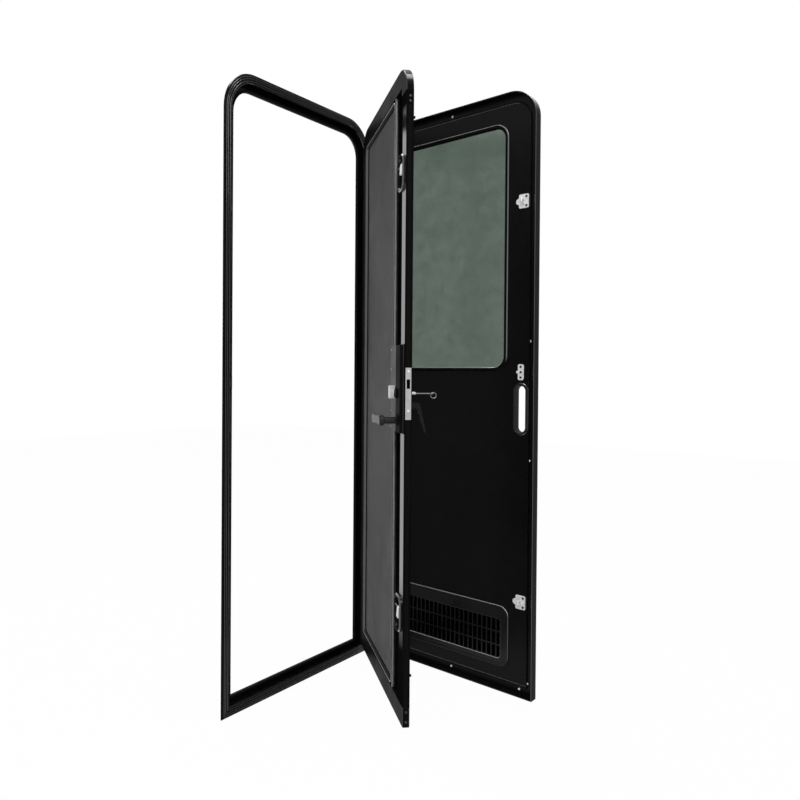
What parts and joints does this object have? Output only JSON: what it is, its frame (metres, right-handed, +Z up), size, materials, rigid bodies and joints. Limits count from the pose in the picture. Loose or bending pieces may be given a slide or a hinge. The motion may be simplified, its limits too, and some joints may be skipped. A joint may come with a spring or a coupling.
{
  "type": "caravan entry door with security screen",
  "caption": "Caravan entry door: a round-headed wall frame with a mesh security screen leaf and an outer leaf with window and vent, both swinging on one hinge line.",
  "frame": {"origin": "middle of the back face of the frame's sill flange, where it rests on the outside of the wall", "axes": "+X to the hinge side seen from outside, +Y into the wall, +Z up"},
  "size_m": [0.678, 0.6448, 1.806],
  "materials": {
    "black_coat": "gloss black powder coat on aluminium extrusion",
    "outer_coat": "gloss black coated aluminium sheet",
    "panel_skin": "satin near-black inner skin",
    "black_plastic": "satin black moulding",
    "mesh": "dark grey woven steel mesh",
    "grey_metal": "dark grey coated plate",
    "chrome": "satin chrome plate",
    "steel": "bare pin",
    "rubber": "soft black seal",
    "glass": "tinted grey-green glazing"
  },
  "bodies": {
    "frame": {"frame_face": "black_coat", "frame_reveal": "black_coat", "reveal_head": "black_coat", "hinge_tray": "black_coat", "frame_stop": "black_coat", "stop_head": "black_coat", "frame_seal": "rubber", "strike_plate": "chrome", "frame_hinges": "black_coat", "hinge_pins": "steel"},
    "screen_door": {"edge_buffers": "rubber", "key": "chrome", "key_cylinder": "chrome", "key_ring": "chrome", "lever_rose": "black_plastic", "lock_case": "black_plastic", "lock_faceplate": "chrome", "lock_plate": "grey_metal", "lower_latch_housing": "black_plastic", "lower_latch_seat": "black_coat", "lower_lock_channel": "black_coat", "lower_lock_stile": "black_coat", "mesh_panel": "mesh", "outer_escutcheon": "black_plastic", "panel_bead": "black_coat", "pull_bracket": "black_plastic", "screen_frame": "black_coat", "screen_hinges": "black_coat", "upper_latch_housing": "black_plastic", "upper_latch_seat": "black_coat", "upper_lock_channel": "black_coat", "upper_lock_stile": "black_coat"},
    "lever_handle": {"lever": "black_plastic"},
    "thumb_turn_knob": {"thumb_turn": "chrome"},
    "pull_handle": {"outer_pull": "black_plastic"},
    "upper_latch": {"upper_latch_hook": "chrome"},
    "lower_latch": {"lower_latch_hook": "chrome"},
    "main_door": {"main_panel": "panel_skin", "outer_skin": "outer_coat", "main_rim": "black_coat", "rim_head": "black_coat", "inner_bead": "black_coat", "window_glass": "glass", "window_trim_inner": "black_plastic", "window_trim_outer": "black_plastic", "vent_grille": "black_plastic", "vent_louvre": "black_plastic", "slot_surround": "black_plastic", "upper_striker": "chrome", "lower_striker": "chrome", "centre_strike": "chrome", "main_hinges": "black_coat"}
  },
  "joints": [
    {"name": "screen_swing", "type": "hinge", "parent": "frame", "child": "screen_door", "pos_m": [0.316, -0.005, 0], "axis": [0, 0, 1], "range_deg": [-47, 10]},
    {"name": "main_swing", "type": "hinge", "parent": "screen_door", "child": "main_door", "pos_m": [0.316, -0.005, 0], "axis": [0, 0, 1], "range_deg": [-39.7, 17.3]},
    {"name": "lever_turn", "type": "hinge", "parent": "screen_door", "child": "lever_handle", "pos_m": [-0.1036, -0.38899, 0.822], "axis": [-0.7314, 0.682, 0], "range_deg": [0, 45], "stiffness_Nm_per_rad": 0.6},
    {"name": "thumb_turn", "type": "hinge", "parent": "screen_door", "child": "thumb_turn_knob", "pos_m": [-0.05215, -0.36313, 0.895], "axis": [-0.7314, 0.682, 0], "range_deg": [0, 90]},
    {"name": "pull_swing", "type": "hinge", "parent": "screen_door", "child": "pull_handle", "pos_m": [-0.04875, -0.44014, 0.861], "axis": [-0.682, -0.7314, 0], "range_deg": [0, 20], "stiffness_Nm_per_rad": 0.5},
    {"name": "upper_latch_lift", "type": "hinge", "parent": "screen_door", "child": "upper_latch", "pos_m": [-0.09613, -0.42057, 1.486], "axis": [0.682, 0.7314, 0], "range_deg": [0, 25], "stiffness_Nm_per_rad": 0.3},
    {"name": "lower_latch_lift", "type": "hinge", "parent": "screen_door", "child": "lower_latch", "pos_m": [-0.09613, -0.42057, 0.332], "axis": [0.682, 0.7314, 0], "range_deg": [0, 25], "stiffness_Nm_per_rad": 0.3}
  ]
}
